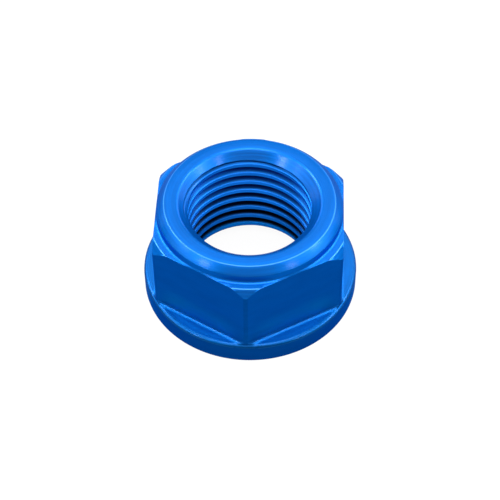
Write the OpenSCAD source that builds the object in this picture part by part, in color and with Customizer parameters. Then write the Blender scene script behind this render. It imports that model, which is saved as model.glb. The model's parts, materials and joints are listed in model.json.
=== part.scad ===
// Hexagon nut with a thin round flange under the hexagon and a turned collar on top.
// One solid turned and milled from bar. Millimetres. The seat of the flange lies on z = 0,
// the thread runs along Z, the corners point along +Y and -Y, and two flats face +X and -X.

/* [Thread] */
// Nominal diameter of the internal thread, across its grooves
thread_d = 16; // [13:0.5:17]
// Pitch of the thread
thread_pitch = 1.5; // [1:0.25:2]
// How much wider than the thread the mouth of the bore is
mouth_over = 0.7; // [0.2:0.1:1.4]
// Slope of the lead-in at each end of the bore, from the end face
lead_angle = 50; // [20:5:60]

/* [Hexagon] */
// Width across the flats
hex_af = 22; // [21:0.5:24]
// How far the turned corners lie inside the sharp corners
corner_trim = 0.1; // [0.05:0.05:0.4]
// Height of the hexagon above the flange, up to its shoulder
hex_h = 9.3; // [5:0.1:20]
// How far the shoulder's flat ring stands out past the middle of a flat
shoulder_over = 0.85; // [0.4:0.05:1]
// Slope of the chamfer on the corners, from the horizontal
corner_angle = 49; // [30:1:60]
// Radius of the fillet along the foot of each flat
foot_r = 0.4; // [0.1:0.05:0.8]

/* [Flange] */
// Thickness of the flange
flange_h = 2.7; // [1.5:0.1:5]
// How far the flange stands out past the corners
flange_lip = 0.3; // [0.2:0.1:4]
// Radius of the rounding on the upper edge of the flange
rim_r = 0.5; // [0.1:0.05:0.6]
// Radius of the rounding on the lower edge of the flange
seat_r = 0.2; // [0.1:0.05:0.6]

/* [Collar] */
// Height of the collar above the shoulder
collar_h = 1.8; // [1.4:0.1:5]
// How far the collar's side lies inside the flats
collar_inset = 0.15; // [0.05:0.05:0.8]
// Width of the chamfer on the collar's upper edge, at 45 degrees
collar_chamfer = 0.85; // [0.2:0.05:1]
// Radius of the fillet at the collar's foot
collar_foot_r = 0.35; // [0.1:0.05:0.5]

/* [Hidden] */
$fn = 96;

// A cut runs this far past the face that it opens.
over = 1;

// Radii of the turned surfaces
bore_r = (thread_d - thread_pitch) / 2;
mouth_r = (thread_d + mouth_over) / 2;
collar_r = hex_af / 2 - collar_inset;
shoulder_r = hex_af / 2 + shoulder_over;
corner_r = hex_af / sqrt(3) - corner_trim;
flange_r = corner_r + flange_lip;

// Heights above the seat
shoulder_z = flange_h + hex_h;
chamfer_z = shoulder_z - (corner_r - shoulder_r) * tan(corner_angle);
nut_h = shoulder_z + collar_h;

// Grooves of the thread: width of the root, where the cutter's flanks start inside the bore,
// the cutter's width there, and the height of the lowest groove
root_width = thread_pitch / 8;
cutter_r = bore_r - 0.1;
groove_mouth = root_width + 2 * (thread_d / 2 - cutter_r) * tan(30);
groove_z = 0.54 * thread_pitch;

// Depth of each lead-in along the bore
lead_h = (mouth_r - bore_r) * tan(lead_angle);

// Straight six-sided column, corners on +Y and -Y
module hex_column(af, h) {
    rotate([0, 0, 30])
        cylinder(r = af / sqrt(3), h = h, $fn = 6);
}

// The column's foot spreads on to the flange in six straight fillets that meet in mitres.
module hex_foot() {
    run = hex_af + 2 * foot_r;
    difference() {
        hex_column(hex_af + 2 * foot_r, flange_h + foot_r);
        for (turn = [0:60:300])
            rotate([0, 0, turn])
                translate([hex_af / 2 + foot_r, -run / 2, flange_h + foot_r])
                    rotate([-90, 0, 0])
                        cylinder(r = foot_r, h = run);
    }
}

// Everything above the flange fits in this turned shape: corners, their chamfer, the
// shoulder, and the collar with its fillet and its chamfer.
module turned_envelope() {
    rotate_extrude()
        difference() {
            polygon([
                [0, 0],
                [corner_r, 0],
                [corner_r, chamfer_z],
                [shoulder_r, shoulder_z],
                [collar_r + collar_foot_r, shoulder_z],
                [collar_r + collar_foot_r, shoulder_z + collar_foot_r],
                [collar_r, shoulder_z + collar_foot_r],
                [collar_r, nut_h - collar_chamfer],
                [collar_r - collar_chamfer, nut_h],
                [0, nut_h]
            ]);
            translate([collar_r + collar_foot_r, shoulder_z + collar_foot_r])
                circle(r = collar_foot_r);
        }
}

// Round flange with a rounding on both edges
module flange() {
    rotate_extrude() {
        translate([0, seat_r])
            square([flange_r, flange_h - seat_r - rim_r]);
        square([flange_r - seat_r, flange_h - rim_r]);
        translate([0, seat_r])
            square([flange_r - rim_r, flange_h - seat_r]);
        intersection() {
            translate([flange_r - seat_r, seat_r])
                circle(r = seat_r);
            square([flange_r, flange_h]);
        }
        intersection() {
            translate([flange_r - rim_r, flange_h - rim_r])
                circle(r = rim_r);
            square([flange_r, flange_h]);
        }
    }
}

// Grooves of the thread as rings, one for each turn, with flanks at 60 degrees to each other
module thread_grooves() {
    for (z = [groove_z:thread_pitch:nut_h])
        translate([0, 0, z])
            rotate_extrude()
                polygon([
                    [0, -groove_mouth / 2],
                    [cutter_r, -groove_mouth / 2],
                    [thread_d / 2, -root_width / 2],
                    [thread_d / 2, root_width / 2],
                    [cutter_r, groove_mouth / 2],
                    [0, groove_mouth / 2]
                ]);
}

// What the drill and the two countersinks take away: the bore at the crests of the thread,
// and a lead-in at both ends.
module threaded_bore() {
    flare = over / tan(lead_angle);
    rotate_extrude()
        polygon([
            [0, -over],
            [mouth_r + flare, -over],
            [bore_r, lead_h],
            [bore_r, nut_h - lead_h],
            [mouth_r + flare, nut_h + over],
            [0, nut_h + over]
        ]);
}

module nut() {
    color("#0f62b8")
        difference() {
            union() {
                flange();
                intersection() {
                    union() {
                        hex_column(hex_af, nut_h);
                        hex_foot();
                    }
                    turned_envelope();
                }
            }
            threaded_bore();
            thread_grooves();
        }
}

nut();
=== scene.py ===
import bmesh
import bpy
import json
import math
import numpy as np
from mathutils import Matrix, Vector


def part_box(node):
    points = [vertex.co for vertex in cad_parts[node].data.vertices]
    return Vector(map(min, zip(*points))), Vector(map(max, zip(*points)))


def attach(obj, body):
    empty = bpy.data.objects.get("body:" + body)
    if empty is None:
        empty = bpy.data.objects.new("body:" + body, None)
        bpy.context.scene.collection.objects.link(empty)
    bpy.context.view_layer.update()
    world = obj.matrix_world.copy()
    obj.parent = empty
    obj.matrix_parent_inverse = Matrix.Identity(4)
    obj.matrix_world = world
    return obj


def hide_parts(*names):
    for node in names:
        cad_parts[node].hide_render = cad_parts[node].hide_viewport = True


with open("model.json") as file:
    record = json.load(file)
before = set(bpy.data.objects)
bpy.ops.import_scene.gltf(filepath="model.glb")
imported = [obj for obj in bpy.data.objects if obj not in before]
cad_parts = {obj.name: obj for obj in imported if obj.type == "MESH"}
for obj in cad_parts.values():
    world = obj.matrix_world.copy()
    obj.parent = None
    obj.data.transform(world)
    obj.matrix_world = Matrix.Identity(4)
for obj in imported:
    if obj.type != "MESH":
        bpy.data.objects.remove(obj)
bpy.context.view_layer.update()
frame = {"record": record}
mm = 0.001  # shapes are worked out in millimetres and scaled once
print("frame loaded")


# The nut's own shape

threadMount = next(m for m in frame["record"]["mounts"] if m["name"] == "thread")

nut = dict(
    height=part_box("nut")[1][2] / mm,
    flangeRadius=12.9,
    flangeHeight=2.7,
    rimRound=0.5,  # upper edge of the flange
    seatRound=0.2,  # lower edge of the flange
    halfFlats=11.0,
    cornerRadius=12.6,  # the six corners are turned down to this
    cornerSoft=0.04,  # how gently a corner meets its flats
    footRound=0.4,  # fillet along the foot of each flat
    shoulderHeight=12.0,
    shoulderRadius=11.85,
    shoulderSoft=0.12,  # how gently the shoulder meets the chamfer on the corners
    shoulderSteps=(0.12, 0.06, 0.03, 0, -0.03, -0.06, -0.12),  # rings on both sides of that edge
    cornerSlope=math.radians(49),
    flatTopRound=0.1,
    collarRadius=10.85,
    collarFootRound=0.35,
    collarChamfer=0.85,
    edgeRound=0.12,  # both edges of the collar's chamfer, and the lower mouth of the bore
    mouthRadius=8.45,
    mouthRound=0.6,  # upper mouth of the bore
)

thread = dict(
    pitch=1.5,
    crestRadius=threadMount["dims"]["r_mm"],
    grooveRadius=8.0,
    flank=math.tan(math.radians(60)),  # rise of a flank, outwards for each step along the axis
    edgeSoft=0.03,
    leadSlope=math.radians(47),
    leadSoft=0.03,
    edgeHeight=7.338,  # the lower edge of a crest passes through this height
    edgeAngle=math.radians(92.65),  # at this angle round the axis
    lastSqueeze=0.5,  # the last groove at the top is this much narrower
    squeezeStart=2.0,  # a groove whose middle is this far below the top has its full width
    endGap=0.06,  # the climbing rings start this far inside the end of a lead-in
    endSnap=0.012,  # climbing rings that come this near their two ends stop there
    leadStep=0.035,  # spacing of the rings on the two lead-ins
    crestStep=0.035,  # spacing of the rings at the edges of a crest
    rootStep=0.06,  # spacing of the rings at the edges of a root
)


# Smaller and larger of two values, blended where they come within a width of each other
def softMin(a, b, width):
    blend = np.clip(0.5 + 0.5 * (b - a) / width, 0, 1)
    return a * blend + b * (1 - blend) - width * blend * (1 - blend) / 2


def softMax(a, b, width):
    return -softMin(-a, -b, width)


# Columns of points run up the nut, and stand closer together round each corner
cornerSteps = [0, 0.2, 0.4, 0.55, 0.7, 0.85, 1, 1.15, 1.3, 1.6, 2.2, 3.2, 4.6, 6.4]
cornerSteps += list(np.linspace(8.4, 27.9, 10))
aroundCorner = np.array([-a for a in cornerSteps[:0:-1]] + cornerSteps + [30])
theta = np.radians(np.concatenate([-90 + 60 * k + aroundCorner for k in range(6)]))
fromFlat = np.radians(30 - np.abs(np.tile(aroundCorner, 6)))  # angle to the middle of the flat
columnCount = len(theta)
ones = np.ones(columnCount)


# The hexagon's outline with its turned corners, this far outside the flats
def hexOutline(away):
    flats = (nut["halfFlats"] + away) / np.cos(fromFlat)
    return softMin(flats, nut["cornerRadius"] * ones, nut["cornerSoft"])


wall = hexOutline(0)


# A ring is the radius and the height of one point on each column
def ring(radius, height):
    return radius * ones, height * ones


# Rounds the corner of an outline between two straight runs, as a row of rings
def roundedCorner(before, corner, after, radius, steps=3):
    corner = np.stack(ring(*corner))
    toBefore = np.stack(ring(*before)) - corner
    toAfter = np.stack(ring(*after)) - corner
    toBefore /= np.linalg.norm(toBefore, axis=0)
    toAfter /= np.linalg.norm(toAfter, axis=0)
    turn = math.pi - np.arccos(np.clip((toBefore * toAfter).sum(0), -1, 1))
    reach = radius * np.tan(turn / 2)
    first, last = corner + toBefore * reach, corner + toAfter * reach
    weight = np.cos(turn / 2)
    rings = []
    for part in np.linspace(0, 1, steps + 1):
        a, b, c = (1 - part) ** 2, 2 * part * (1 - part) * weight, part**2
        point = (a * first + b * corner + c * last) / (a + b + c)
        rings.append((point[0], point[1]))
    return rings


# Height of the surface on top of the hexagon: corner chamfer, shoulder, foot of the collar
def hexTop(radius):
    cone = nut["shoulderHeight"] - (radius - nut["shoulderRadius"]) * math.tan(nut["cornerSlope"])
    top = softMin(cone, nut["shoulderHeight"] * ones, nut["shoulderSoft"])
    footRound = nut["collarFootRound"]
    inside = np.clip(nut["collarRadius"] + footRound - radius, 0, footRound)
    return top + footRound - np.sqrt(footRound**2 - inside**2)


def flangeRings():
    mouth, outer, top = nut["mouthRadius"], nut["flangeRadius"], nut["flangeHeight"]
    inBore = (mouth - 1, math.tan(thread["leadSlope"]))
    rings = roundedCorner(inBore, (mouth, 0), (outer, 0), nut["edgeRound"])
    rings += roundedCorner((mouth, 0), (outer, 0), (outer, top), nut["seatRound"], 4)
    rimRound = nut["rimRound"]
    rimRadius, rimHeight = outer - rimRound, top - rimRound
    toe = hexOutline(nut["footRound"])
    toeAngle = np.arccos(np.clip((toe - rimRadius) / rimRound, 0, 1))
    for part in np.linspace(0, 1, 8):
        angle = toeAngle * part
        rings.append((rimRadius + rimRound * np.cos(angle), rimHeight + rimRound * np.sin(angle)))
    toeHeight = rimHeight + rimRound * np.sin(toeAngle)
    for part in np.linspace(1, 0, 7):
        angle = math.pi / 2 * part
        radius = hexOutline(nut["footRound"] * (1 - math.cos(angle)))
        height = top + nut["footRound"] * (1 - math.sin(angle))
        rings.append((radius, toeHeight if part == 1 else height * ones))
    return rings


def hexagonRings():
    wallTop, nudge = hexTop(wall), 0.02
    slope = (hexTop(wall - nudge) - wallTop) / nudge
    below, inside = (wall, wallTop - 1), (wall - 1, wallTop + slope)
    rings = roundedCorner(below, (wall, wallTop), inside, nut["flatTopRound"])
    footRound = nut["collarFootRound"]
    footStart = nut["collarRadius"] + footRound
    inner = rings[-1][0]
    for step in nut["shoulderSteps"]:
        radius = np.clip(nut["shoulderRadius"] + step, np.minimum(footStart, inner), inner)
        rings.append((radius, hexTop(radius)))
    start = np.arcsin(np.clip((footStart - np.minimum(footStart, inner)) / footRound, 0, 1))
    for part in np.linspace(0, 1, 6):
        angle = start + (math.pi / 2 - start) * part
        radius = footStart - footRound * np.sin(angle)
        rings.append((radius, nut["shoulderHeight"] + footRound * (1 - np.cos(angle))))
    return rings


def collarRings():
    side, top, mouth = nut["collarRadius"], nut["height"], nut["mouthRadius"]
    low, high = (side, top - nut["collarChamfer"]), (side - nut["collarChamfer"], top)
    inBore = (mouth - 1, top - math.tan(thread["leadSlope"]))
    rings = roundedCorner((side, nut["shoulderHeight"]), low, high, nut["edgeRound"])
    rings += roundedCorner(low, high, (mouth, top), nut["edgeRound"])
    rings += roundedCorner(high, (mouth, top), inBore, nut["mouthRound"], 4)
    return rings


# Section of the thread
grooveDepth = thread["grooveRadius"] - thread["crestRadius"]
rootWidth = thread["pitch"] / 8
flankLength = grooveDepth / thread["flank"]
crestWidth = thread["pitch"] - rootWidth - 2 * flankLength
grooveMiddle = (crestWidth + thread["pitch"]) / 2  # above the lower edge of the crest


# Height of the lower edge of a crest, at an angle round the axis
def crestEdge(angle):
    return thread["edgeHeight"] + thread["pitch"] * (angle - thread["edgeAngle"]) / (2 * math.pi)


# How much narrower a groove is whose middle lies at this height
def squeeze(middle):
    ramp = np.clip((middle - nut["height"] + thread["squeezeStart"]) / (thread["pitch"] / 2), 0, 1)
    return thread["lastSqueeze"] * ramp * ramp * (3 - 2 * ramp)


def threadRadius(angle, height):
    above = (height - crestEdge(angle)) % thread["pitch"]
    narrower = squeeze(height - above + grooveMiddle)
    depth = thread["flank"] * np.minimum(above - crestWidth, thread["pitch"] - narrower - above)
    depth = softMax(depth, 0 * depth, thread["edgeSoft"])
    return thread["crestRadius"] + softMin(depth, grooveDepth + 0 * depth, thread["edgeSoft"] * 2)


def leadRadius(height):
    fromEnd = np.minimum(height, nut["height"] - height)
    return nut["mouthRadius"] - fromEnd / math.tan(thread["leadSlope"])


def leadRing(height):
    radius = softMax(threadRadius(theta, height * ones), leadRadius(height * ones), thread["leadSoft"])
    return radius, height * ones


leadDepth = (nut["mouthRadius"] - thread["crestRadius"]) * math.tan(thread["leadSlope"])
threadLow = leadDepth + thread["endGap"]
threadHigh = nut["height"] - leadDepth - thread["endGap"]


# Rings from the lower end of the thread round the outside to its upper end
def makeOuterRings():
    rings = flangeRings() + hexagonRings() + collarRings()
    seatEnd, mouthEnd = float(rings[0][1][0]), float(rings[-1][1][0])
    steps = int((mouthEnd - threadHigh) / thread["leadStep"])
    lower = [leadRing(z) for z in np.linspace(threadLow, seatEnd, steps + 1)[:-1]]
    upper = [leadRing(z) for z in np.linspace(mouthEnd, threadHigh, steps + 1)[1:]]
    return lower + rings + upper


# Heights within one turn at which a ring runs, closer together at the edges of crest and root
def turnStations():
    crestStep, rootStep, pitch = thread["crestStep"], thread["rootStep"], thread["pitch"]
    rootStart, rootEnd = crestWidth + flankLength, pitch - flankLength
    stations = [step * crestStep for step in (-1, -0.3, 0.4, 1.2)]
    stations += [crestWidth + step * crestStep for step in (-1.2, -0.4, 0.3, 1)]
    stations += [crestWidth + flankLength / 2, pitch - flankLength / 2]
    stations += [edge + step for edge in (rootStart, rootEnd) for step in (-rootStep, 0, rootStep)]
    return np.sort(np.array(stations) % pitch)


# Rings of the thread climb with the helix and close on themselves one turn further up
def makeThreadRings(stations):
    pitch, snap = thread["pitch"], thread["endSnap"]
    climb = crestEdge(theta)
    firstTurn = math.floor((threadLow - climb.max()) / pitch) - 1
    lastTurn = math.ceil((threadHigh - climb.min()) / pitch) + 1
    rings = []
    for turn in range(firstTurn, lastTurn + 1):
        narrower = squeeze(climb + turn * pitch + grooveMiddle)
        for station in stations:
            height = climb + station + turn * pitch
            if station > grooveMiddle:
                height = height - narrower
            height = np.where(height < threadLow + snap, threadLow, height)
            height = np.where(height > threadHigh - snap, threadHigh, height)
            if rings:
                height = np.maximum(height, rings[-1][1])
            rings.append((threadRadius(theta, height), height))
    return rings


def ringPoints(rings):
    radius = np.array([r for r, _ in rings])
    height = np.array([z for _, z in rings])
    return np.stack([radius * np.cos(theta), radius * np.sin(theta), height], -1).reshape(-1, 3)


def nutSurface():
    stations = turnStations()
    outerRings, threadRings = makeOuterRings(), makeThreadRings(stations)
    outerCount, threadCount = len(outerRings), len(threadRings)
    points = np.concatenate([ringPoints(outerRings), ringPoints(threadRings)]) * mm
    faces = []
    for row in range(outerCount - 1):
        low, high = row * columnCount, (row + 1) * columnCount
        for column in range(columnCount):
            beside = (column + 1) % columnCount
            faces.append((low + column, low + beside, high + beside, high + column))
    base = outerCount * columnCount
    for row in range(threadCount - 1):
        for column in range(columnCount):
            beside = (column + 1) % columnCount
            lift = len(stations) if beside == 0 else 0
            low, high = min(row + lift, threadCount - 1), min(row + 1 + lift, threadCount - 1)
            faces.append((base + row * columnCount + column, base + low * columnCount + beside,
                          base + high * columnCount + beside, base + (row + 1) * columnCount + column))
    mesh = bpy.data.meshes.new("nutSurface")
    mesh.from_pydata(points.tolist(), [], faces)
    return mesh


# Joins the rings where they meet, and drops the faces that have no area
def cleaned(mesh, nearest=0.0006 * mm):
    work = bmesh.new()
    work.from_mesh(mesh)
    bmesh.ops.remove_doubles(work, verts=work.verts, dist=nearest)
    bmesh.ops.dissolve_degenerate(work, dist=nearest, edges=work.edges)
    loose = [v for v in work.verts if not v.link_faces]
    bmesh.ops.delete(work, geom=loose, context="VERTS")
    bmesh.ops.recalc_face_normals(work, faces=work.faces)
    openEdges = sum(1 for e in work.edges if len(e.link_faces) != 2)
    triangles = sum(len(f.verts) - 2 for f in work.faces)
    print("open edges:", openEdges, "triangles:", triangles)
    for face in work.faces:
        face.smooth = True
    work.to_mesh(mesh)
    work.free()
    return mesh


nutMesh = cleaned(nutSurface())
nutPiece = bpy.data.objects.new("nutBody", nutMesh)
bpy.context.scene.collection.objects.link(nutPiece)
evenShade = nutPiece.modifiers.new("evenShade", "WEIGHTED_NORMAL")
evenShade.weight = 50
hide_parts("nut")
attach(nutPiece, "root")
print("nut built:", columnCount, "columns")


# Finishes

turnedFinish = dict(
    colour=(0.001, 0.076, 0.32),
    # painted light: a lighter copy of the colour for the turned faces of the flange
    flange=(0.001, 0.084, 0.32),
    worn=(0.022, 0.13, 0.4),  # painted highlight: lighter colour along the edges, where their rounding catches the light
    wornReach=(0.03, 0.12),  # from full to none, away from the edge
    shoulderShade=0.15,  # painted light: the shoulder is this much brighter
    rimShade=-0.33,  # painted shade on the rounded edge of the flange, dimming its highlight
    metal=0.85,
    roughness=0.42,
    shine=0.0,
    edgeTint=(0, 0.4, 0.8),  # keeps the metal blue where it is seen at a low angle
    coat=0.09,
    coatRoughness=0.18,
    marks=5.0,  # cycles of the tool marks for each millimetre
    markDrift=0.7,  # how quickly they change along their length
    markDepth=0.0025,
    markShade=0.1,
    markRoughness=0.05,
    cloud=0.25,  # cycles of the slow change in the dye for each millimetre
    cloudShade=0.04,
)

milledFinish = dict(
    turnedFinish,
    colour=(0.0005, 0.062, 0.275),
    foot=(0.001, 0.115, 0.35),  # painted light: lighter colour at the foot of each flat, fading upwards and towards the corners
    footHeights=(3.2, 6.8),
    footRadii=(11.2, 12.4),
    rimShade=-0.11,  # painted shade on the side of the flange
    collarShade=0.35,  # painted light on the side of the collar
    cornerShade=-0.15,  # painted shade on the turned corners of the hexagon
    edgeTint=(0, 0.44, 1),
    coat=0.0,
    metal=0.8,
    roughness=0.45,
    marks=3.5,
    markDrift=0.12,
    markShade=0.05,
)

leadFinish = dict(turnedFinish, coat=0.15, markShade=0.16)

threadFinish = dict(
    turnedFinish,
    colour=(0.004, 0.076, 0.315),
    coat=0.01,
    coatRoughness=0.2,
    markDepth=0.001,
)

# Radius and height of the edges that get the painted highlight
highlightedEdges = [
    (nut["collarRadius"] - nut["collarChamfer"], nut["height"]),
    (nut["shoulderRadius"], nut["shoulderHeight"]),
]

bore = dict(
    # painted light and shade: how bright it is against the turned faces, by depth below the crests
    shades=[(0, 2.2), (0.05, 1.3), (0.12, 0.65), (0.25, 0.55), (0.42, 0.52)],
    leadStart=(7.15, 7.35),  # the painted light on the crests fades over these radii
    navy=(0.6, 0.6, 1.3),  # tint of the painted shade in the deepest part of a groove
    navyDepths=(0.2, 0.55),
    rootDepths=(0.08, 0.3),
    rootHeights=(4.0, 12.5),  # the painted shade in the roots is darkest below the first height
    rootShade=0.04,
    crestHeights=(2.5, 8),  # painted shade: the crests darken less, and further down
    crestShade=0.6,
    reach=8.2,  # all this stays inside this radius,
    leadReach=8.1,  # and off the outermost part of the two lead-ins
)


# A material's nodes, with short calls for the ones used here
class NodeBoard:
    def __init__(self, name):
        self.material = bpy.data.materials.new(name)
        self.material.use_nodes = True
        self.tree = self.material.node_tree
        self.shader = self.tree.nodes["Principled BSDF"]

    def put(self, socket, value):
        if isinstance(value, bpy.types.NodeSocket):
            self.tree.links.new(value, socket)
        else:
            socket.default_value = value

    def maths(self, kind, *values):
        node = self.tree.nodes.new("ShaderNodeMath")
        node.operation = kind
        for socket, value in zip(node.inputs, values):
            self.put(socket, value)
        return node.outputs[0]

    def plus(self, a, b):
        return self.maths("ADD", a, b)

    def minus(self, a, b):
        return self.maths("SUBTRACT", a, b)

    def times(self, a, b):
        return self.maths("MULTIPLY", a, b)

    def over(self, a, b):
        return self.maths("DIVIDE", a, b)

    # 1 where a is larger, and otherwise 0
    def larger(self, a, b):
        return self.maths("GREATER_THAN", a, b)

    # Brings a factor back towards 1 where its share is less than 1
    def partly(self, factor, share):
        return self.plus(1.0, self.times(self.minus(factor, 1.0), share))

    def ramp(self, value, low, high):
        node = self.tree.nodes.new("ShaderNodeMapRange")
        node.interpolation_type = "SMOOTHSTEP"
        for socket, part in zip(node.inputs, (value, *low, *high)):
            self.put(socket, part)
        return node.outputs[0]

    # Follows a noise, by as much on both sides of a middle value
    def swing(self, noise, middle, reach):
        return self.ramp(noise, (0.3, 0.7), (middle - reach, middle + reach))

    # Brightness read off a list of places and values
    def profile(self, value, shades):
        node = self.tree.nodes.new("ShaderNodeValToRGB")
        self.put(node.inputs[0], value)
        points = node.color_ramp.elements
        for number, (position, shade) in enumerate(shades):
            point = points[number] if number < 2 else points.new(position)
            point.position = position
            point.color = (shade, shade, shade, 1)
        return node.outputs[0]

    def vector(self, *parts):
        node = self.tree.nodes.new("ShaderNodeCombineXYZ")
        for socket, value in zip(node.inputs, parts):
            self.put(socket, value)
        return node.outputs[0]

    def noise(self, place, extra, detail):
        node = self.tree.nodes.new("ShaderNodeTexNoise")
        node.noise_dimensions = "4D"
        self.put(node.inputs["Vector"], place)
        self.put(node.inputs["W"], extra)
        node.inputs["Scale"].default_value = 1
        node.inputs["Detail"].default_value = detail
        node.inputs["Roughness"].default_value = 0.65
        return node.outputs["Fac"]

    def blend(self, share, a, b, kind="MIX"):
        node = self.tree.nodes.new("ShaderNodeMix")
        node.data_type = "RGBA"
        node.blend_type = kind
        self.put(node.inputs["Factor"], share)
        self.put(node.inputs[6], a)
        self.put(node.inputs[7], b)
        return node.outputs[2]

    def distance(self, a, b):
        node = self.tree.nodes.new("ShaderNodeVectorMath")
        node.operation = "DISTANCE"
        self.put(node.inputs[0], a)
        self.put(node.inputs[1], b)
        return node.outputs["Value"]


# Where a point of the nut lies, in millimetres
def nutPlace(board):
    split = board.tree.nodes.new("ShaderNodeSeparateXYZ")
    board.put(split.inputs[0], board.tree.nodes.new("ShaderNodeTexCoord").outputs["Object"])
    x, y, z = (board.over(part, mm) for part in split.outputs)
    radius = board.maths("SQRT", board.plus(board.times(x, x), board.times(y, y)))
    return x, y, z, radius


# Tool marks: straight and level on the flats, round the axis on everything turned
def toolMarks(board, finish, straight):
    x, y, z, radius = board.place
    rise = board.times(z, finish["marks"])
    across = 0.0
    if not straight:
        across = board.times(radius, finish["marks"])
        x, y = board.over(x, radius), board.over(y, radius)
    alongX, alongY = board.times(x, finish["markDrift"]), board.times(y, finish["markDrift"])
    return board.noise(board.vector(across, rise, alongX), alongY, 3)


# Colour of the flats with painted light at their foot, and painted light and shade on their corners
# and on the upright sides of flange and collar
def milledColour(board, finish):
    z, radius = board.place[2:]
    # painted light at the foot of the flats, fading upwards and towards the corners
    foot = board.ramp(z, finish["footHeights"], (1.0, 0.0))
    foot = board.times(foot, board.larger(z, nut["flangeHeight"]))
    foot = board.times(foot, board.ramp(radius, finish["footRadii"], (1.0, 0.1)))
    # painted shade: the side of the flange is made darker
    rim = board.times(board.larger(radius, nut["cornerRadius"] + 0.05), finish["rimShade"])
    # painted light: the side of the collar is made brighter
    collar = board.times(board.larger(z, nut["shoulderHeight"]), finish["collarShade"])
    # painted shade: the turned corners are made darker
    cornerRadii = (nut["cornerRadius"] - 0.08, nut["cornerRadius"] - 0.02)
    corner = board.ramp(radius, cornerRadii, (0.0, finish["cornerShade"]))
    shade = board.plus(board.plus(1.0, corner), board.plus(collar, rim))
    return board.blend(foot, (*finish["colour"], 1), (*finish["foot"], 1)), shade


# Colour and painted light and shade of the turned faces, with a painted highlight along their edges
def turnedColour(board, finish):
    z, radius = board.place[2:]
    onFlange = board.larger(nut["flangeHeight"] + 0.1, z)
    # painted light: the shoulder's turned faces are made brighter
    shoulderRadii = (nut["collarRadius"] - 0.1, nut["collarRadius"])
    shoulder = board.ramp(radius, shoulderRadii, (0.0, finish["shoulderShade"]))
    shoulder = board.times(shoulder, board.larger(z, nut["shoulderHeight"] - 1))
    # painted shade: the rounded edge of the flange is made darker
    rimRadii = (nut["flangeRadius"] - 0.6, nut["flangeRadius"] - 0.3)
    rim = board.times(onFlange, board.ramp(radius, rimRadii, (0.0, finish["rimShade"])))
    shade = board.plus(board.plus(shoulder, rim), 1.0)
    here = board.vector(radius, z, 0.0)
    # painted highlight: the colour turns lighter near the collar's and shoulder's edges
    fromEdges = [board.distance(here, (*edge, 0)) for edge in highlightedEdges]
    worn = board.ramp(board.maths("MINIMUM", *fromEdges), finish["wornReach"], (1.0, 0.0))
    colour = board.blend(worn, (*finish["colour"], 1), (*finish["worn"], 1))
    # painted light: the flange's turned faces take the lighter copy of the colour
    return board.blend(onFlange, colour, (*finish["flange"], 1)), shade


# Painted light and shade in the bore: bright crests, dark roots, and darker further down
def paintedBoreLightAndShade(board):
    z, radius = board.place[2:]
    fromEnd = board.maths("MINIMUM", z, board.minus(nut["height"], z))
    lead = board.minus(nut["mouthRadius"], board.over(fromEnd, math.tan(thread["leadSlope"])))
    depth = board.minus(radius, board.maths("MAXIMUM", lead, thread["crestRadius"]))
    inBore = board.times(board.larger(bore["reach"], radius), board.larger(bore["leadReach"], lead))
    most = bore["shades"][0][1]
    shade = board.profile(depth, [(place, value / most) for place, value in bore["shades"]])
    shade = board.times(shade, board.ramp(lead, bore["leadStart"], (most, 1.0)))
    inRoot = board.ramp(depth, bore["rootDepths"], (0.0, 1.0))
    root = board.partly(board.ramp(z, bore["rootHeights"], (bore["rootShade"], 1.0)), inRoot)
    crest = board.ramp(z, bore["crestHeights"], (bore["crestShade"], 1.0))
    shade = board.partly(board.times(shade, board.times(root, crest)), inBore)
    bottom = board.times(board.ramp(depth, bore["navyDepths"], (0.0, 1.0)), inBore)
    return board.blend(bottom, (1, 1, 1, 1), (*bore["navy"], 1)), shade


# Blue anodised metal; straight marks are for the milled faces
def anodised(name, finish, straight=False):
    board = NodeBoard(name)
    board.place = nutPlace(board)
    x, y, z = board.place[:3]
    lines = toolMarks(board, finish, straight)
    cloudPlace = board.vector(board.times(x, finish["cloud"]), board.times(y, finish["cloud"]), z)
    cloud = board.noise(cloudPlace, 3.0, 2)
    shade = board.swing(lines, 1, finish["markShade"])
    shade = board.times(shade, board.swing(cloud, 1, finish["cloudShade"]))
    # colour, and the painted light and shade of each place, which brightens or darkens that colour
    colour, paintedLightShade = milledColour(board, finish) if straight else turnedColour(board, finish)
    shade = board.times(shade, paintedLightShade)
    if not straight:
        # painted light and shade in the bore, with a navy tint on its painted shade
        paintedNavyShade, paintedLightShade = paintedBoreLightAndShade(board)
        shade = board.times(shade, paintedLightShade)
        colour = board.blend(1.0, colour, paintedNavyShade, "MULTIPLY")
    colour = board.blend(1.0, colour, board.vector(shade, shade, shade), "MULTIPLY")
    uneven = board.swing(lines, 0, finish["markRoughness"])
    bump = board.tree.nodes.new("ShaderNodeBump")
    bump.inputs["Strength"].default_value = 1
    bump.inputs["Distance"].default_value = finish["markDepth"] * mm
    board.put(bump.inputs["Height"], lines)
    sockets = {
        "Base Color": colour,
        "Roughness": board.plus(uneven, finish["roughness"]),
        "Normal": bump.outputs[0],
        "Metallic": finish["metal"],
        "Specular IOR Level": finish["shine"],
        "Specular Tint": (*finish["edgeTint"], 1),
        "Coat Weight": finish["coat"],
        "Coat Roughness": finish["coatRoughness"],
    }
    for socket, value in sockets.items():
        board.put(board.shader.inputs[socket], value)
    return board.material


nutMesh.materials.append(anodised("turnedBlue", turnedFinish))
nutMesh.materials.append(anodised("milledBlue", milledFinish, straight=True))
nutMesh.materials.append(anodised("leadInBlue", leadFinish))
nutMesh.materials.append(anodised("threadBlue", threadFinish))

areas = dict(
    milledFrom=10,  # radius
    upright=0.3,  # most that an upright face leans
    leadFrom=12.55,  # height, just above the foot of the upper lead-in
    leadReach=8.9,
    leadGap=0.06,
    boreReach=8.7,
)


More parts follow.
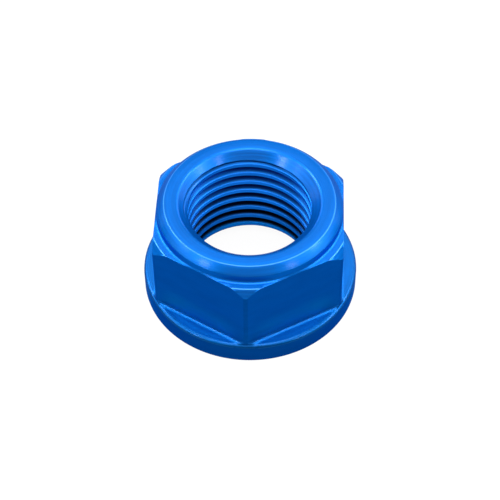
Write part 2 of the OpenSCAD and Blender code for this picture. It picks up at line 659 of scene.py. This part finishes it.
# Number of a face's material, by where it lies and which way it faces
def finishNumber(face):
    middle = face.center / mm
    reach = math.hypot(middle.x, middle.y)
    if reach > areas["milledFrom"] and abs(face.normal.z) < areas["upright"]:
        return 1
    onLead = abs(reach - float(leadRadius(middle.z))) < areas["leadGap"] and face.normal.z > 0.5
    if reach < areas["leadReach"] and middle.z > areas["leadFrom"] and onLead:
        return 2
    return 3 if reach < areas["boreReach"] else 0


for face in nutMesh.polygons:
    face.material_index = finishNumber(face)
print("finishes made")


# Camera, worked out from the photograph's perspective

view = dict(
    lens=108,
    sensor=36,
    elevation=0.8606,
    roll=-0.0104,
    turn=math.radians(2.65),
    # in radii of the flange
    aside=0.003,
    up=-0.2505,
    distance=14.2975,
)


def placeCamera():
    level = Vector((1, 0, 0))
    tilt = Vector((0, math.sin(view["elevation"]), math.cos(view["elevation"])))
    forward = Vector((0, math.cos(view["elevation"]), -math.sin(view["elevation"])))
    right = math.cos(view["roll"]) * level + math.sin(view["roll"]) * tilt
    upward = -math.sin(view["roll"]) * level + math.cos(view["roll"]) * tilt
    aim = view["aside"] * right + view["up"] * upward + view["distance"] * forward
    pose = Matrix((right, upward, -forward)).transposed().to_4x4()
    pose.translation = -nut["flangeRadius"] * mm * aim
    data = bpy.data.cameras.new("camera")
    data.lens = view["lens"]
    data.sensor_width = view["sensor"]
    data.clip_start = 0.01
    data.clip_end = 10
    camera = bpy.data.objects.new("camera", data)
    bpy.context.scene.collection.objects.link(camera)
    camera.matrix_world = Matrix.Rotation(view["turn"], 4, "Z") @ pose
    bpy.context.scene.camera = camera


placeCamera()
print("camera placed")


# Floor and light

floorLook = dict(reach=1.5, drop=0.00002, colour=0.04, glow=0.95, roughness=0.9, shine=0.1)

# Around the nut from the camera's side, above the floor, width, height, radiance
lamps = dict(
    zenith=(0, 90, 0.5, 0.5, 7.5),
    topFront=(0, 70, 0.6, 0.4, 3.1),
    front=(0, 42, 0.7, 0.5, 0.93),
    back=(180, 30, 1.2, 0.6, 0.7),
    backHigh=(180, 60, 0.8, 0.4, 2.5),
    left=(-90, 35, 0.7, 0.6, 2.2),
    right=(90, 35, 0.7, 0.6, 3),
    leftBack=(-135, 25, 0.7, 0.6, 2.6),
    rightBack=(135, 25, 0.7, 0.6, 3.0),
    # small and strong, for the crisp highlights
    frontLeft=(-54, 33, 0.12, 0.12, 38),
    frontRight=(48, 33, 0.12, 0.12, 24),
    leadLeft=(-83, 33, 0.16, 0.16, 10),
    leadRight=(83, 33, 0.16, 0.16, 24),
    highLeft=(-60, 52, 0.3, 0.3, 3),
    highRight=(60, 52, 0.3, 0.3, 3),
    edgeLeft=(-118, 42, 0.25, 0.25, 18),
    edgeRight=(112, 42, 0.2, 0.2, 15),
)


def softbox(name, around, above, width, height, radiance, distance=0.8):
    data = bpy.data.lights.new(name, "AREA")
    data.shape = "RECTANGLE"
    data.size = width
    data.size_y = height
    data.energy = radiance * width * height * math.pi
    lamp = bpy.data.objects.new(name, data)
    bpy.context.scene.collection.objects.link(lamp)
    turn, rise = math.radians(around - 90) + view["turn"], math.radians(above)
    way = Vector((math.cos(turn) * math.cos(rise), math.sin(turn) * math.cos(rise), math.sin(rise)))
    lamp.location = way * distance
    lamp.rotation_euler = (-way).to_track_quat("-Z", "Y").to_euler()
    lamp.visible_camera = False


def makeFloor():
    material = bpy.data.materials.new("paleFloor")
    material.use_nodes = True
    shader = material.node_tree.nodes["Principled BSDF"]
    shader.inputs["Base Color"].default_value = (*[floorLook["colour"]] * 3, 1)
    shader.inputs["Roughness"].default_value = floorLook["roughness"]
    shader.inputs["Specular IOR Level"].default_value = floorLook["shine"]
    shader.inputs["Emission Color"].default_value = (1, 1, 1, 1)
    shader.inputs["Emission Strength"].default_value = floorLook["glow"]
    mesh = bpy.data.meshes.new("floor")
    r = floorLook["reach"]
    mesh.from_pydata([(-r, -r, 0), (r, -r, 0), (r, r, 0), (-r, r, 0)], [], [(0, 1, 2, 3)])
    mesh.materials.append(material)
    floor = bpy.data.objects.new("floor", mesh)
    floor.location.z = -floorLook["drop"]
    bpy.context.scene.collection.objects.link(floor)


makeFloor()
for name, place in lamps.items():
    softbox(name, *place)
world = bpy.data.worlds.new("studio")
bpy.context.scene.world = world
world.use_nodes = True
world.node_tree.nodes["Background"].inputs["Strength"].default_value = 0
bpy.context.scene.view_settings.view_transform = "Standard"
print("stage set")
